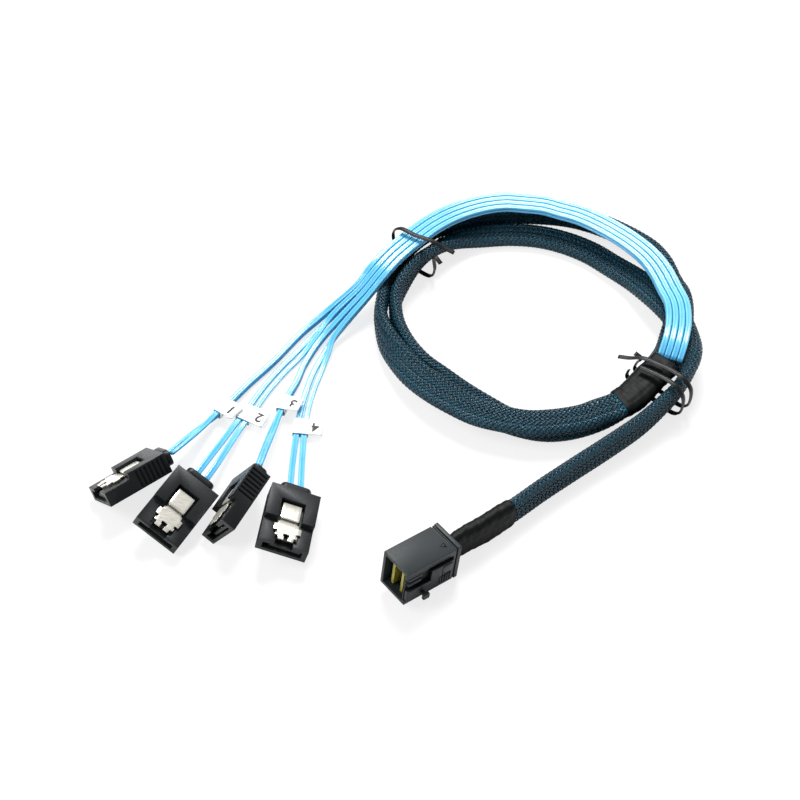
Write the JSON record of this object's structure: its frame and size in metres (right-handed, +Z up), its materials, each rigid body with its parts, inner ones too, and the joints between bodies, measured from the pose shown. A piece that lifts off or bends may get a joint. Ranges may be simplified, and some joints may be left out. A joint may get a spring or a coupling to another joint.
{
  "type": "mini SAS breakout cable",
  "caption": "Flat braided computer cable wound in loops, with a latching square plug on one end and blue ribbons fanning out to latching drive plugs on the other",
  "frame": {"origin": "on the table, below the middle of the five plugs", "axes": "+Z up from the table, +X along the row of plugs towards the host plug, +Y from the plugs towards the coiled trunk"},
  "size_m": [0.1798, 0.1526, 0.0154],
  "materials": {
    "braid": "open woven black mesh over teal ribbons",
    "heat_shrink": "matte",
    "ribbon": "satin translucent blue jacket",
    "label_paper": "matte",
    "tie": "satin",
    "host_plastic": "fine matte moulded",
    "latch_plastic": "satin moulded",
    "card_edge": "satin board with gold contacts",
    "drive_plastic": "fine matte moulded",
    "boss_plastic": "matte moulded",
    "contact_plastic": "matte",
    "latch_steel": "satin spring steel"
  },
  "bodies": {
    "cable": {"host_heat_shrink": "heat_shrink", "braided_sleeve": "braid", "breakout_heat_shrink": "heat_shrink", "drive_1_ribbon_lower": "ribbon", "drive_1_ribbon_upper": "ribbon", "drive_2_ribbon_lower": "ribbon", "drive_2_ribbon_upper": "ribbon", "drive_3_ribbon_lower": "ribbon", "drive_3_ribbon_upper": "ribbon", "drive_4_ribbon_lower": "ribbon", "drive_4_ribbon_upper": "ribbon", "drive_1_label": "label_paper", "drive_2_label": "label_paper", "drive_3_label": "label_paper", "drive_4_label": "label_paper", "left_twist_tie": "tie", "right_twist_tie": "tie", "host_plug_shell": "host_plastic", "host_plug_rear_flange": "host_plastic", "host_card_edge_left": "card_edge", "host_card_edge_right": "card_edge", "drive_1_plug_housing": "drive_plastic", "drive_1_cable_boss": "boss_plastic", "drive_1_contact_carrier": "contact_plastic", "drive_2_plug_housing": "drive_plastic", "drive_2_cable_boss": "boss_plastic", "drive_2_contact_carrier": "contact_plastic", "drive_3_plug_housing": "drive_plastic", "drive_3_cable_boss": "boss_plastic", "drive_3_contact_carrier": "contact_plastic", "drive_4_plug_housing": "drive_plastic", "drive_4_cable_boss": "boss_plastic", "drive_4_contact_carrier": "contact_plastic"},
    "host_latch": {"host_latch_lever": "latch_plastic"},
    "drive_1_latch": {"drive_1_latch_spring": "latch_steel"},
    "drive_2_latch": {"drive_2_latch_spring": "latch_steel"},
    "drive_3_latch": {"drive_3_latch_spring": "latch_steel"},
    "drive_4_latch": {"drive_4_latch_spring": "latch_steel"}
  },
  "joints": [
    {"name": "host_latch_press", "type": "hinge", "parent": "cable", "child": "host_latch", "pos_m": [0.04522, -0.01915, 0.00729], "axis": [0.1017, 0.1237, 0.9871], "range_deg": [0, 4], "stiffness_Nm_per_rad": 0.03},
    {"name": "drive_1_latch_press", "type": "hinge", "parent": "cable", "child": "drive_1_latch", "pos_m": [-0.03778, 0.01804, 0.00867], "axis": [0.4852, -0.621, 0.6157], "range_deg": [0, 2], "stiffness_Nm_per_rad": 0.02},
    {"name": "drive_2_latch_press", "type": "hinge", "parent": "cable", "child": "drive_2_latch", "pos_m": [-0.02338, 0.00704, 0.00818], "axis": [0.7866, -0.4354, -0.4378], "range_deg": [0, 2], "stiffness_Nm_per_rad": 0.02},
    {"name": "drive_3_latch_press", "type": "hinge", "parent": "cable", "child": "drive_3_latch", "pos_m": [-0.00998, 0.00914, 0.00889], "axis": [0.5026, -0.2451, 0.829], "range_deg": [0, 2], "stiffness_Nm_per_rad": 0.02},
    {"name": "drive_4_latch_press", "type": "hinge", "parent": "cable", "child": "drive_4_latch", "pos_m": [0.00615, 0.00328, 0.00837], "axis": [0.9408, -0.1475, -0.3052], "range_deg": [0, 2], "stiffness_Nm_per_rad": 0.02}
  ]
}
